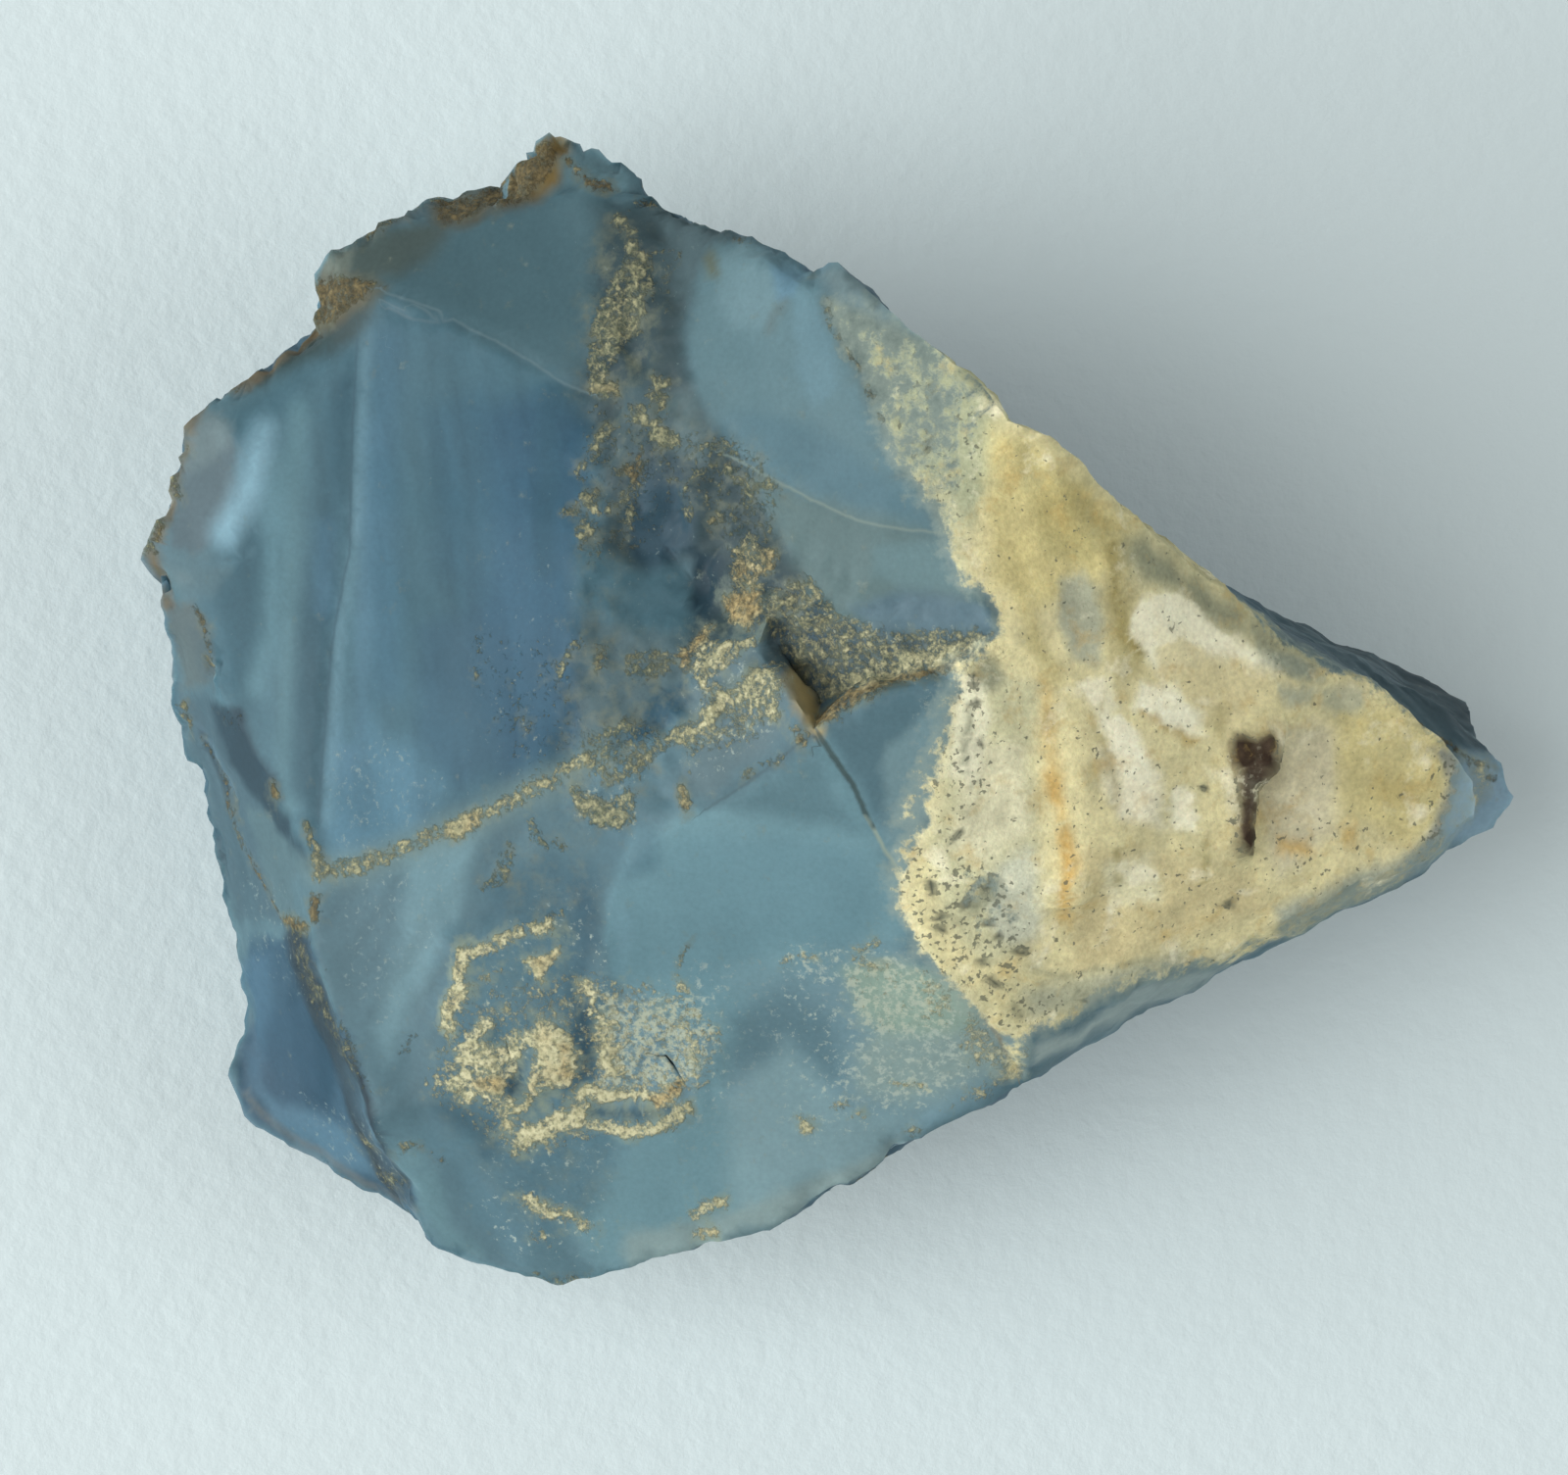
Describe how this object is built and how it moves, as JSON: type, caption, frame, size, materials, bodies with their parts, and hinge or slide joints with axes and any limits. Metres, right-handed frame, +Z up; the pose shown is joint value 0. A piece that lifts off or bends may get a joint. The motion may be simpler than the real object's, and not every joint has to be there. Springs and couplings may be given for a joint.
{
  "type": "rough opal",
  "caption": "Rough broken lump of blue common opal with a rind of cream host rock over one side, pointed at one end, resting on a small flat spot.",
  "frame": {"origin": "centre of the footprint, on the surface it rests on", "axes": "+X along the length towards the pointed end that carries the cream rind, +Y towards the high back edge, +Z up from the flat spot it rests on"},
  "size_m": [0.0348, 0.0292, 0.0164],
  "materials": {
    "opal": "waxy, conchoidal, partly coated with matt cream rock"
  },
  "bodies": {
    "root": {"rough_opal": "opal"}
  },
  "joints": []
}
